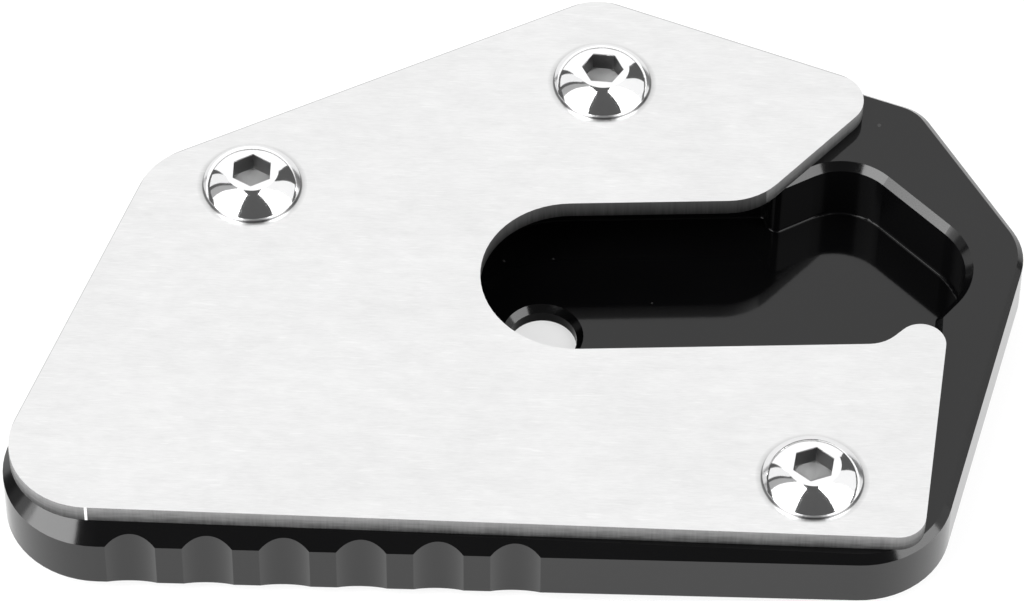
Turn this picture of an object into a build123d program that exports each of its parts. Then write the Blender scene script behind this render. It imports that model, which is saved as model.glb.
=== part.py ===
from build123d import *
from math import cos, radians, sin, sqrt, tan
import os

os.makedirs("parts", exist_ok=True)

# Foot: corners of the outer wall seen from above, each as x, y and its rounding radius
front_y = -37.9
foot_corners = [
    (-57.8, front_y, 10.4),
    (-41.35, 11.8, 8.0),
    (7.0, 38.5, 7.0),
    (43.0, 24.8, 5.0),
    (54.3, 5.2, 7.6),
    (43.5, front_y, 10.0),
]
underside_chamfer = 2.5
bevel_start = 8.5
seat_height = 9.86
seat_slope = 0.8

# Finger scallops along the front wall
scallop_count = 6
scallop_pitch = 8.0
scallop_first_x = -39.8
scallop_radius = 3.9
scallop_depth = 1.0

# Opening of the C-shaped plate; the pocket in the foot follows it at a wider half width
slot_x = 5.5
slot_y = -2.6
slot_turn = 3.7
slot_radius = 10.1
slot_rear_reach = 20.2
slot_front_reach = 32.4

# Pocket in the foot that takes the stand's own foot: two straight sides, then a wider lobe
pocket_radius = 16.1
pocket_front_reach = 37.0
pocket_front_radius = 6.0
pocket_rear_reach = 21.8
pocket_rear_radius = 0.8
pocket_bump_radius = 1.0
pocket_lobe = [
    (44.2, -4.7, pocket_bump_radius),
    (50.0, 2.7, 7.4),
    (35.45, 17.4, 6.1),
    (26.8, 12.3, pocket_bump_radius),
]
pocket_chamfer = 0.8
floor_thickness = 2.05
floor_round = 0.25
floor_hole_x = 2.3
floor_hole_y = -2.9
floor_hole_radius = 3.7
floor_hole_chamfer = 0.7

# Plate: thickness, and its outer corners in the same form as those of the foot
plate_thickness = 2.1
plate_corners = [
    (42.3, -36.35, 3.0),
    (-56.3, -35.9, 8.6),
    (-40.6, 11.5, 8.6),
    (6.9, 37.6, 6.0),
    (39.2, 25.35, 3.8),
]
slot_mouth_radius = 7.5
nub_root_radius = 4.2
nub_run = 7.77
nub_rise = 6.8
nub_radius = 2.6

# M6 button head screws
screw_spots = {
    "screw_rear_left": (-29.6, 8.6, 30.0),
    "screw_rear_middle": (7.9, 25.0, -3.0),
    "screw_front_right": (30.8, -29.0, 22.0),
}
screw_radius = 3.0
screw_length = 8.0
screw_tip_chamfer = 0.6
head_radius = 5.25
head_height = 2.45
head_rim = 0.5
head_flat_radius = 2.9
head_dome_radius = 5.0
socket_width = 4.0
socket_depth = 2.3
socket_cone = 0.5

# Clearances, measured on the radius
plate_hole_clearance = 0.3
tapped_hole_clearance = 0.05
tapped_hole_spare = 1.2

# The top of the foot, the plate and the screws all stand on this slightly tilted plane
seat = Plane(
    origin=(0, 0, seat_height),
    x_dir=(cos(radians(seat_slope)), 0, -sin(radians(seat_slope))),
    z_dir=(sin(radians(seat_slope)), 0, cos(radians(seat_slope))),
)
floor = seat.offset(floor_thickness - seat_height)
screw_points = [(x, y) for x, y, turn in screw_spots.values()]
highest_seat = seat_height - min(x for x, y, r in foot_corners) * tan(radians(seat_slope))


def beside_slot(along, across):
    """Point given along and across the axis of the slot, counted from the slot's round end."""
    return Vector(slot_x, slot_y) + Vector(along, across).rotate(Axis.Z, slot_turn)


def slot_sided(half_width, front_reach, front_radius, corners, rear_reach, rear_radius):
    """Closed outline: the round end, both sides as far as their reach, and corners between."""
    line = [beside_slot(0, -half_width), beside_slot(front_reach, -half_width)]
    line += [Vector(x, y) for x, y, r in corners]
    line += [beside_slot(rear_reach, half_width), beside_slot(0, half_width)]
    FilletPolyline(*line, radius=[front_radius] + [r for x, y, r in corners] + [rear_radius])
    ThreePointArc(line[0], beside_slot(-half_width, 0), line[-1])


# Foot
with BuildPart() as pocket_space:
    with BuildSketch(floor):
        with BuildLine():
            slot_sided(
                pocket_radius, pocket_front_reach, pocket_front_radius, pocket_lobe,
                pocket_rear_reach, pocket_rear_radius,
            )
        make_face()
    extrude(amount=seat_height)
    fillet(pocket_space.faces().sort_by(Axis.Z)[0].edges(), floor_round)

with BuildPart() as base_plate:
    with BuildSketch():
        with BuildLine():
            corners = [(x, y) for x, y, r in foot_corners]
            FilletPolyline(*corners, radius=[r for x, y, r in foot_corners], close=True)
        make_face()
    extrude(amount=highest_seat)
    chamfer(base_plate.faces().sort_by(Axis.Z)[0].edges(), underside_chamfer)
    chamfer(base_plate.faces().sort_by(Axis.Z)[-1].edges(), highest_seat - bevel_start)
    split(bisect_by=seat, keep=Keep.BOTTOM)

    scallop_middle_x = scallop_first_x + scallop_pitch * (scallop_count - 1) / 2
    with BuildSketch():
        with Locations((scallop_middle_x, front_y - scallop_radius + scallop_depth)):
            with GridLocations(scallop_pitch, 0, scallop_count, 1):
                Circle(scallop_radius)
    extrude(amount=highest_seat, mode=Mode.SUBTRACT)

    add(pocket_space.part, mode=Mode.SUBTRACT)
    top_face = base_plate.faces().filter_by(seat).sort_by(Axis.Z)[-1]
    chamfer(top_face.inner_wires()[0].edges(), pocket_chamfer)

    with Locations(floor.location * Pos(floor_hole_x, floor_hole_y)):
        CounterSinkHole(
            radius=floor_hole_radius,
            counter_sink_radius=floor_hole_radius + floor_hole_chamfer,
            counter_sink_angle=90,
        )
    with Locations(*[seat.location * Pos(x, y) for x, y in screw_points]):
        Hole(
            radius=screw_radius + tapped_hole_clearance,
            depth=screw_length - plate_thickness + tapped_hole_spare,
        )
base_plate.part.label = "base_plate"
export_step(base_plate.part, "parts/base_plate.step")

# Plate
nub = beside_slot(slot_front_reach + nub_run, nub_rise - slot_radius)
with BuildPart() as top_plate:
    with BuildSketch(seat):
        with BuildLine():
            slot_sided(
                slot_radius, slot_front_reach, nub_root_radius,
                [(nub.X, nub.Y, nub_radius)] + plate_corners,
                slot_rear_reach, slot_mouth_radius,
            )
        make_face()
        with Locations(*screw_points):
            Circle(screw_radius + plate_hole_clearance, mode=Mode.SUBTRACT)
    extrude(amount=plate_thickness)
top_plate.part.label = "top_plate"
export_step(top_plate.part, "parts/top_plate.step")

# Screws
for name, (x, y, turn) in screw_spots.items():
    stand = Plane(seat.offset(plate_thickness).location * Pos(x, y) * Rot(0, 0, turn))
    with BuildPart() as screw:
        with BuildSketch(Plane(origin=stand.origin, x_dir=stand.x_dir, z_dir=-stand.y_dir)):
            with BuildLine():
                Polyline(
                    (head_flat_radius, head_height),
                    (0, head_height),
                    (0, -screw_length),
                    (screw_radius - screw_tip_chamfer, -screw_length),
                    (screw_radius, -screw_length + screw_tip_chamfer),
                    (screw_radius, 0),
                    (head_radius, 0),
                    (head_radius, head_rim),
                )
                RadiusArc((head_radius, head_rim), (head_flat_radius, head_height), -head_dome_radius)
            make_face()
        revolve(axis=Axis(stand.origin, stand.z_dir))
        socket_floor = stand.offset(head_height - socket_depth)
        with BuildSketch(socket_floor):
            RegularPolygon(socket_width / sqrt(3), 6)
        extrude(amount=socket_depth, mode=Mode.SUBTRACT)
        with Locations(socket_floor.location * Rot(180, 0, 0)):
            Cone(
                socket_width / 2, 0, socket_cone,
                align=(Align.CENTER, Align.CENTER, Align.MIN), mode=Mode.SUBTRACT,
            )
    screw.part.label = name
    export_step(screw.part, f"parts/{name}.step")
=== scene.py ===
import bpy
from math import cos, pi, radians, sin, tan
from mathutils import Matrix, Vector


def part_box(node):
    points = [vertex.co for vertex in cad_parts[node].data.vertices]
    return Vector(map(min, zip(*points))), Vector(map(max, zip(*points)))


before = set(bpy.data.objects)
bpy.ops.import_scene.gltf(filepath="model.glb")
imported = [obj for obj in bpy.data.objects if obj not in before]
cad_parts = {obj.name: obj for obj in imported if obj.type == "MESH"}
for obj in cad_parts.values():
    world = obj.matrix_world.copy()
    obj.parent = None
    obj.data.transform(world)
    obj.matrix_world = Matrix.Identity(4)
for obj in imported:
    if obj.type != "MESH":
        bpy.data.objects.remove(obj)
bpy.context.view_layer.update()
print("frame loaded")

# The camera as fitted to the photograph, in metres and degrees, its focal length in picture pixels
view = {
    "target": Vector((-0.0011, -0.00514, 0.0105)),
    "distance": 0.64528,
    "elevation": 50.49,
    "yaw": -1.38,
    "roll": 0.32,
    "focalPixels": 6047.66,
    "imageWidth": 1024,
    "filmWidth": 36,
    "nearest": 0.01,
    "farthest": 20,
}


def addCamera(shot):
    tilt, yaw, roll = radians(shot["elevation"]), radians(shot["yaw"]), radians(shot["roll"])
    forward = Vector((sin(yaw) * cos(tilt), cos(yaw) * cos(tilt), -sin(tilt)))
    right = Vector((cos(yaw), -sin(yaw), 0))
    up = right.cross(forward)
    right, up = cos(roll) * right + sin(roll) * up, cos(roll) * up - sin(roll) * right
    data = bpy.data.cameras.new("photoCamera")
    data.sensor_width = shot["filmWidth"]
    data.lens = shot["focalPixels"] * shot["filmWidth"] / shot["imageWidth"]
    data.clip_start = shot["nearest"]
    data.clip_end = shot["farthest"]
    camera = bpy.data.objects.new("photoCamera", data)
    place = Matrix((right, up, -forward)).transposed().to_4x4()
    place.translation = shot["target"] - forward * shot["distance"]
    camera.matrix_world = place
    bpy.context.collection.objects.link(camera)
    bpy.context.scene.camera = camera


addCamera(view)
print("camera set")

# Each light panel: azimuth from the front to the right, half its width as an angle, the lowest and
# highest elevation that it fills, how far it leans back from upright towards the part, and its
# distance in metres. A brightness of 1 looks white. The polished screw heads mirror the panels.
panels = {
    "backPanel": dict(azimuth=186.5, spread=38, low=3, high=80, lean=20, distance=1.3, brightness=1.0),
    "leftPanel": dict(azimuth=-51.5, spread=22.5, low=5, high=75, lean=0, distance=0.65, brightness=7.6),
    "leftSoft": dict(azimuth=-77, spread=3, low=8, high=74, lean=0, distance=0.65, brightness=4.0),
    "leftEdge": dict(azimuth=-85, spread=5, low=9, high=72, lean=0, distance=0.65, brightness=1.3),
    "leftFade": dict(azimuth=-97, spread=7, low=9, high=72, lean=0, distance=0.65, brightness=0.32),
    "leftDim": dict(azimuth=-119, spread=9, low=7, high=66, lean=0, distance=0.8, brightness=0.85),
    "rightPanel": dict(azimuth=67.5, spread=22.5, low=5, high=75, lean=0, distance=0.65, brightness=5.0),
    "rightEdge": dict(azimuth=106, spread=16, low=5, high=72, lean=0, distance=0.65, brightness=0.9),
}


def addPanel(name, panel):
    turn, lean, distance = radians(panel["azimuth"]), radians(panel["lean"]), panel["distance"]
    away = Vector((sin(turn), -cos(turn), 0))
    upward = Vector((0, 0, 1))
    facing = cos(lean) * away + sin(lean) * upward
    along = cos(lean) * upward - sin(lean) * away
    bottom = tan(radians(panel["low"] - panel["lean"])) * distance
    top = tan(radians(panel["high"] - panel["lean"])) * distance
    data = bpy.data.lights.new(name, "AREA")
    data.shape = "RECTANGLE"
    data.size = 2 * distance * tan(radians(panel["spread"]))
    data.size_y = top - bottom
    data.energy = pi * data.size * data.size_y * panel["brightness"]  # looks as bright at any size
    lamp = bpy.data.objects.new(name, data)
    place = Matrix((along.cross(facing), along, facing)).transposed().to_4x4()
    place.translation = facing * distance + along * (top + bottom) / 2
    lamp.matrix_world = place
    bpy.context.collection.objects.link(lamp)


for panelName, panel in panels.items():
    addPanel(panelName, panel)

dimStudio = {"light": 0.1}
world = bpy.data.worlds.new("dimStudio")
bpy.context.scene.world = world
world.use_nodes = True
world.node_tree.nodes["Background"].inputs["Color"].default_value = (1, 1, 1, 1)
world.node_tree.nodes["Background"].inputs["Strength"].default_value = dimStudio["light"]
bpy.context.scene.view_settings.view_transform = "Standard"
bpy.context.scene.view_settings.look = "None"
print("studio lit")

screwNames = ("screw_rear_left", "screw_rear_middle", "screw_front_right")
perMetre = 1000  # the looks below are in millimetres
seatSlope = 0.8  # degrees that the foot's top and the plate slope down to the right
steep = 0.5  # a face is upright where its flatness is under this
noiseMiddle = 0.5


# A node's output, which takes part in sums as a number does
class Value:
    def __init__(self, finish, socket):
        self.finish, self.socket = finish, socket

    def math(self, operation, first, second=0.0):
        return self.finish.add("ShaderNodeMath", {"operation": operation}, {0: first, 1: second})

    def __add__(self, other):
        return self.math("ADD", self, other)

    def __radd__(self, other):
        return self.math("ADD", other, self)

    def __sub__(self, other):
        return self.math("SUBTRACT", self, other)

    def __rsub__(self, other):
        return self.math("SUBTRACT", other, self)

    def __mul__(self, other):
        return self.math("MULTIPLY", self, other)

    def __rmul__(self, other):
        return self.math("MULTIPLY", other, self)

    def __lt__(self, other):
        return self.math("LESS_THAN", self, other)

    def __gt__(self, other):
        return self.math("GREATER_THAN", self, other)

    def __abs__(self):
        return self.math("ABSOLUTE", self)


# One Principled material and the nodes that feed it
class Finish:
    def __init__(self, name, constants):
        self.material = bpy.data.materials.new(name)
        self.material.use_nodes = True
        self.tree = self.material.node_tree
        self.surface = self.tree.nodes["Principled BSDF"]
        for socketName, number in constants.items():
            self.surface.inputs[socketName].default_value = number

    def add(self, nodeType, settings=None, inputs=None, output=0):
        node = self.tree.nodes.new(nodeType)
        for key, setting in (settings or {}).items():
            if key == "stops":
                ramp = node.color_ramp.elements
                while len(ramp) < len(setting):
                    ramp.new(0.5)
                for stop, (position, level) in zip(ramp, setting):
                    stop.position, stop.color = position, grey(level)
            else:
                setattr(node, key, setting)
        for key, value in (inputs or {}).items():
            self.feed(node.inputs[key], value)
        return Value(self, node.outputs[output])

    def feed(self, socket, value):
        if isinstance(value, Value):
            self.tree.links.new(value.socket, socket)
        else:
            socket.default_value = value

    # Place on the part in millimetres, stretched along its axes
    def place(self, stretch=(1, 1, 1)):
        spot = self.add("ShaderNodeTexCoord", output="Object")
        scale = [perMetre * factor for factor in stretch]
        return self.add("ShaderNodeMapping", None, {"Vector": spot, "Scale": scale})

    def noise(self, stretch, size, detail=3.0, rough=0.5):
        return self.add("ShaderNodeTexNoise", None, {
            "Vector": self.place(stretch), "Scale": 1 / size, "Detail": detail, "Roughness": rough,
        })

    def ramp(self, value, stops):
        return self.add("ShaderNodeValToRGB", {"stops": stops}, {0: value})

    def mixColour(self, factor, low, high):
        return self.add("ShaderNodeMix", {"data_type": "RGBA"}, {0: factor, 6: low, 7: high}, output=2)

    # A height of 0 to 1 stands for depth metres
    def bump(self, height, depth):
        return self.add("ShaderNodeBump", None, {"Height": height, "Distance": depth, "Strength": 1.0})

    def vectorMath(self, operation, first, second=(0, 0, 0), output="Value"):
        return self.add("ShaderNodeVectorMath", {"operation": operation}, {0: first, 1: second}, output)

    def along(self, axis, vector):
        return self.add("ShaderNodeSeparateXYZ", None, {0: vector}, output=axis)

    # How much the surface faces up, from 0 on upright faces to 1 on flat ones
    def flatness(self):
        return abs(self.along("Z", self.add("ShaderNodeNewGeometry", output="Normal")))

    # Height over a plane that starts at the given height and slopes as the part's top does
    def rise(self, height):
        upSlope = (sin(radians(seatSlope)), 0, cos(radians(seatSlope)))
        return self.vectorMath("DOT_PRODUCT", self.place(), upSlope) - height

    # Distance from the upright line through a point
    def fromLine(self, point):
        flat = self.add("ShaderNodeMapping", None, {
            "Vector": self.place(), "Location": (-point[0], -point[1], 0), "Scale": (1, 1, 0),
        })
        return self.vectorMath("LENGTH", flat)

    # Shows another shader where the factor is 1
    def blend(self, factor, other):
        first = Value(self, self.surface.outputs[0])
        mixed = self.add("ShaderNodeMixShader", None, {0: factor, 1: first, 2: other})
        self.feed(self.tree.nodes["Material Output"].inputs["Surface"], mixed)

    def use(self, **links):
        for name, value in links.items():
            self.feed(self.surface.inputs[name.replace("_", " ")], value)


def grey(level, blue=1.0):
    return (level, level, level * blue, 1)


def middleOf(nodeName):
    low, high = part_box(nodeName)
    return [perMetre * (a + b) / 2 for a, b in zip(low, high)]


# The pocket's milled walls and the rounded seam at their foot are duller than the rest: pocketReach
# are the half axes of an oval round them, and the seam rises from floorHeight by its own height.
# A dust mark is its place and radius.
baseLook = {
    "black": grey(0.0009, 1.1),
    "blackWorn": grey(0.0018, 1.08),
    "cloudSize": 14,
    "speckSize": 0.35,
    "speckDepth": 0.0000006,
    "roughness": 0.06,
    "haze": 0.04,
    "wallBelow": 0.3,
    "topAbove": 0.95,
    "bevelRoughness": 0.06,
    "ior": 1.5,
    "dust": [
        (38.42, 22.01, 9.32, 0.2),
        (-2.3, 7.36, 2.08, 0.15),
        (3.04, 7.87, 2.01, 0.13),
        (13.92, 2.11, 1.86, 0.13),
    ],
    "dustGrey": grey(0.02),
    "dullBlack": grey(0.0016, 1.1),
    "dullIor": 1.15,
    "dullRoughness": 0.2,
    "seamDullness": 0.8,
    "pocketMiddle": (21, -1, 0),
    "pocketReach": (31, 22, 1000),
    "floorHeight": 2.05,
    "seam": 0.35,
}


def blackAnodised(look):
    finish = Finish("blackAnodised", {"IOR": look["ior"]})
    cloud = finish.noise((1, 1, 1), look["cloudSize"])
    speck = finish.noise((1, 1, 1), look["speckSize"], detail=2)
    upward = finish.flatness()
    bevel = (upward > look["wallBelow"]) * (upward < look["topAbove"])
    fromPocket = finish.add("ShaderNodeMapping", {"vector_type": "TEXTURE"}, {
        "Vector": finish.place(), "Location": look["pocketMiddle"], "Scale": look["pocketReach"],
    })
    inPocket = finish.vectorMath("LENGTH", fromPocket) < 1
    rise = finish.rise(look["floorHeight"])
    seam = bevel * (rise > 0) * (rise < look["seam"])
    dusty = 0
    for x, y, z, radius in look["dust"]:
        apart = finish.vectorMath("DISTANCE", finish.place(), (x, y, z))
        dusty = dusty + (apart < speck * 2 * radius)
    black = finish.mixColour(cloud, look["black"], look["blackWorn"])
    finish.use(
        Base_Color=finish.mixColour(dusty, black, look["dustGrey"]),
        Roughness=look["roughness"] + cloud * speck * look["haze"] + bevel * look["bevelRoughness"],
        Normal=finish.bump(speck, look["speckDepth"]),
    )
    milled = finish.add("ShaderNodeBsdfPrincipled", None, {
        "Base Color": look["dullBlack"], "Roughness": look["dullRoughness"], "IOR": look["dullIor"],
    })
    finish.blend(inPocket * ((upward < look["wallBelow"]) + seam * look["seamDullness"]), milled)
    return finish.material


# The sheet's outer edges are cut matt, with one painted highlight on the front edge: a bright streak
# where its corner starts to round. The slot is milled brighter, and reaches slotReach from slotMiddle.
# Round each screw head a dark ring is painted shade, for the head's contact shadow and dark mirror
# image on the plate. The top face is darker along a thin brim at the edges between rearCorners.
plateLook = {
    "bright": grey(0.98),
    "dull": grey(0.59),
    "roughness": 0.3,
    "grain": dict(stretch=(0.13, 1, 1), size=0.17, detail=5, rough=0.7),
    "band": dict(stretch=(0.15, 1, 1), size=0.9, detail=3),
    "mottle": dict(stretch=(0.5, 1, 1), size=1.8, detail=4, rough=0.6),
    "drift": dict(stretch=(0.7, 1, 1), size=9, detail=2),
    "scratch": dict(stretch=(0.1, 1, 1), size=0.3, detail=1),
    "scratchStops": [(0.68, 0), (0.72, 1)],
    "shares": {"grain": 0.42, "band": 0.14, "mottle": 0.28, "drift": 0.16, "scratch": 0.1},
    "streak": dict(stretch=(1, 1, 0.05), size=0.22, detail=3),
    "layer": dict(stretch=(0.12, 0.12, 1), size=0.3, detail=3),
    "grainDepth": 0.000006,
    "grainRoughness": 0.1,
    "edgeBright": grey(0.22),
    "edgeDull": grey(0.02),
    "edgeShares": {"fade": 0.85, "streak": 0.35, "layer": 0.5},
    "edgeMetallic": 0.1,
    "edgeRoughness": 0.7,
    "slotBright": grey(0.28),
    "slotDull": grey(0.05),
    "slotShares": {"fade": 0.8, "streak": 0.4},
    "slotRoughness": 0.56,
    "slotMiddle": (9, -2, 0),
    "slotReach": (17, 14),
    "seatHeight": 9.86,
    "thickness": 2.1,
    # A painted highlight: a bright streak on the front edge where its corner starts to round
    "paintedGlintX": -44.35,
    "paintedGlintHalfWidth": 0.14,
    "paintedGlintInFrontOf": -30,
    "paintedGlint": grey(0.75),
    # Painted shade: a dark ring round each screw head, for its contact shadow and dark mirror image
    "paintedHeadShadeRadius": 5.1,
    "paintedHeadShadeFade": [(0.0, 0.95), (0.24, 0.95), (0.36, 0.3), (0.9, 0.0)],
    "paintedHeadShade": grey(0.11),
    "rearCorners": [(-56.3, -35.9), (-40.6, 11.5), (6.9, 37.6), (39.2, 25.35)],
    "brimWidth": 0.11,
    "brim": grey(0.5),
}


def plateFace(finish, look, grain):
    band, mottle, drift = (finish.noise(**look[name]) for name in ("band", "mottle", "drift"))
    scratch = finish.ramp(finish.noise(**look["scratch"]), look["scratchStops"])
    shares = look["shares"]
    shade = grain * shares["grain"] + band * shares["band"] + mottle * shares["mottle"]
    shade = shade + drift * shares["drift"] + scratch * shares["scratch"]
    face = finish.mixColour(shade, look["dull"], look["bright"])
    # Painted shade: a dark ring on the plate round each screw head, for the head's contact shadow and
    # dark mirror image
    for screwName in screwNames:
        beyond = finish.fromLine(middleOf(screwName)) - look["paintedHeadShadeRadius"]
        face = finish.mixColour(finish.ramp(beyond, look["paintedHeadShadeFade"]), face, look["paintedHeadShade"])
    # The top face is darker along a thin brim at the edges between rearCorners
    for (x1, y1), (x2, y2) in zip(look["rearCorners"], look["rearCorners"][1:]):
        outward = Vector((y1 - y2, x2 - x1, 0)).normalized()
        reach = finish.vectorMath("DOT_PRODUCT", finish.place(), outward)
        brim = reach > outward.dot(Vector((x1, y1, 0))) - look["brimWidth"]
        face = finish.mixColour(brim, face, look["brim"])
    return face


def brushedPlate(look):
    finish = Finish("brushedPlate", {})
    upright = finish.flatness() < steep
    fromSlot = finish.vectorMath("SUBTRACT", finish.place(), look["slotMiddle"], output="Vector")
    across, along = (abs(finish.along(axis, fromSlot)) for axis in "XY")
    slot = upright * (across < look["slotReach"][0]) * (along < look["slotReach"][1])
    outer = upright - slot
    fade = finish.rise(look["seatHeight"]) * (1 / look["thickness"])
    grain, streak, layer = (finish.noise(**look[name]) for name in ("grain", "streak", "layer"))
    face = plateFace(finish, look, grain)

    # Outer edges
    shares = look["edgeShares"]
    cut = fade * shares["fade"] + (streak - noiseMiddle) * shares["streak"]
    cut = cut + (layer - noiseMiddle) * shares["layer"]
    edge = finish.mixColour(cut, look["edgeDull"], look["edgeBright"])
    placeX, placeY = (finish.along(axis, finish.place()) for axis in "XY")
    # The painted highlight on the front edge, a bright streak where the corner starts to round
    nearPaintedGlint = (abs(placeX - look["paintedGlintX"]) < look["paintedGlintHalfWidth"]) * (placeY < look["paintedGlintInFrontOf"])
    edge = finish.mixColour(outer * nearPaintedGlint, edge, look["paintedGlint"])

    # Slot
    shares = look["slotShares"]
    cut = fade * shares["fade"] + (streak - noiseMiddle) * shares["streak"]
    milled = finish.mixColour(cut, look["slotDull"], look["slotBright"])

    rough = look["roughness"]
    edgeRough = outer * (look["edgeRoughness"] - rough) + slot * (look["slotRoughness"] - rough)
    finish.use(
        Base_Color=finish.mixColour(slot, finish.mixColour(outer, face, edge), milled),
        Metallic=1 - outer * (1 - look["edgeMetallic"]),
        Roughness=rough + (grain - noiseMiddle) * look["grainRoughness"] + edgeRough,
        Normal=finish.bump(grain * (1 - upright) + streak * upright, look["grainDepth"]),
    )
    return finish.material


# The socket is what lies within socketReach of the axis and more than socketRim under the top. Its
# walls and floor are darker and rougher than the polished dome: partly the unpolished socket's own
# finish, partly painted shade of the recess.
screwLook = {
    "bright": grey(0.96),
    "dull": grey(0.9, 1.01),
    "cloudSize": 0.8,
    "cloudDepth": 0.000001,
    "roughness": 0.06,
    "haze": 0.03,
    "socketReach": 2.42,
    "socketRim": 0.2,
    "wall": grey(0.14),
    "wallRoughness": 0.4,
    "shadedSocketFloor": grey(0.38),
    "coneRoughness": 0.35,
}


def polishedScrew(name, look):
    finish = Finish("polished_" + name, {"Metallic": 1.0})
    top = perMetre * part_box(name)[1][2]
    height = finish.along("Z", finish.place())
    radius = finish.fromLine(middleOf(name))
    socket = (radius < look["socketReach"]) * (height < top - look["socketRim"])
    flat = finish.flatness() > steep
    # Painted shade, partly the unpolished socket's own duller finish: the socket's walls and floor are
    # darker than the dome
    wall, shadedSocketFloor = socket * (1 - flat), socket * flat
    cloud = finish.noise((1, 1, 1), look["cloudSize"])
    metal = finish.mixColour(cloud, look["dull"], look["bright"])
    walled = finish.mixColour(wall, metal, look["wall"])
    socketRough = wall * look["wallRoughness"] + shadedSocketFloor * look["coneRoughness"]
    finish.use(
        Base_Color=finish.mixColour(shadedSocketFloor, walled, look["shadedSocketFloor"]),
        Roughness=look["roughness"] + cloud * look["haze"] + socketRough,
        Normal=finish.bump(cloud, look["cloudDepth"]),
    )
    return finish.material


finishes = {"base_plate": blackAnodised(baseLook), "top_plate": brushedPlate(plateLook)}
for screwName in screwNames:
    finishes[screwName] = polishedScrew(screwName, screwLook)
for nodeName, material in finishes.items():
    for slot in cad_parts[nodeName].material_slots:
        slot.material = material
print("finishes made")

# The floor lies just under the foot, and glows less where it is seen through the foot's hole
floorLook = {
    "halfSize": 3.0,
    "level": -0.00002,
    "pale": grey(0.23),
    "paler": grey(0.25),
    "mottleSize": 60,
    "roughness": 0.6,
    "glow": 0.78,
    "underHole": (2.3, -2.9, 0),
    "shadeRadius": 12,
    "shade": grey(0.7),
}


def addFloor(look):
    half, level = look["halfSize"], look["level"]
    corners = [(-half, -half, level), (half, -half, level), (half, half, level), (-half, half, level)]
    mesh = bpy.data.meshes.new("floor")
    mesh.from_pydata(corners, [], [(0, 1, 2, 3)])
    floor = bpy.data.objects.new("floor", mesh)
    bpy.context.collection.objects.link(floor)
    finish = Finish("paleFloor", {
        "Roughness": look["roughness"], "Specular IOR Level": 0.0, "Emission Strength": look["glow"],
    })
    mottle = finish.noise((1, 1, 1), look["mottleSize"])
    underHole = finish.vectorMath("DISTANCE", finish.place(), look["underHole"]) < look["shadeRadius"]
    finish.use(
        Base_Color=finish.mixColour(mottle, look["pale"], look["paler"]),
        Emission_Color=finish.mixColour(underHole, grey(1.0), look["shade"]),
    )
    mesh.materials.append(finish.material)


addFloor(floorLook)
print("floor laid")
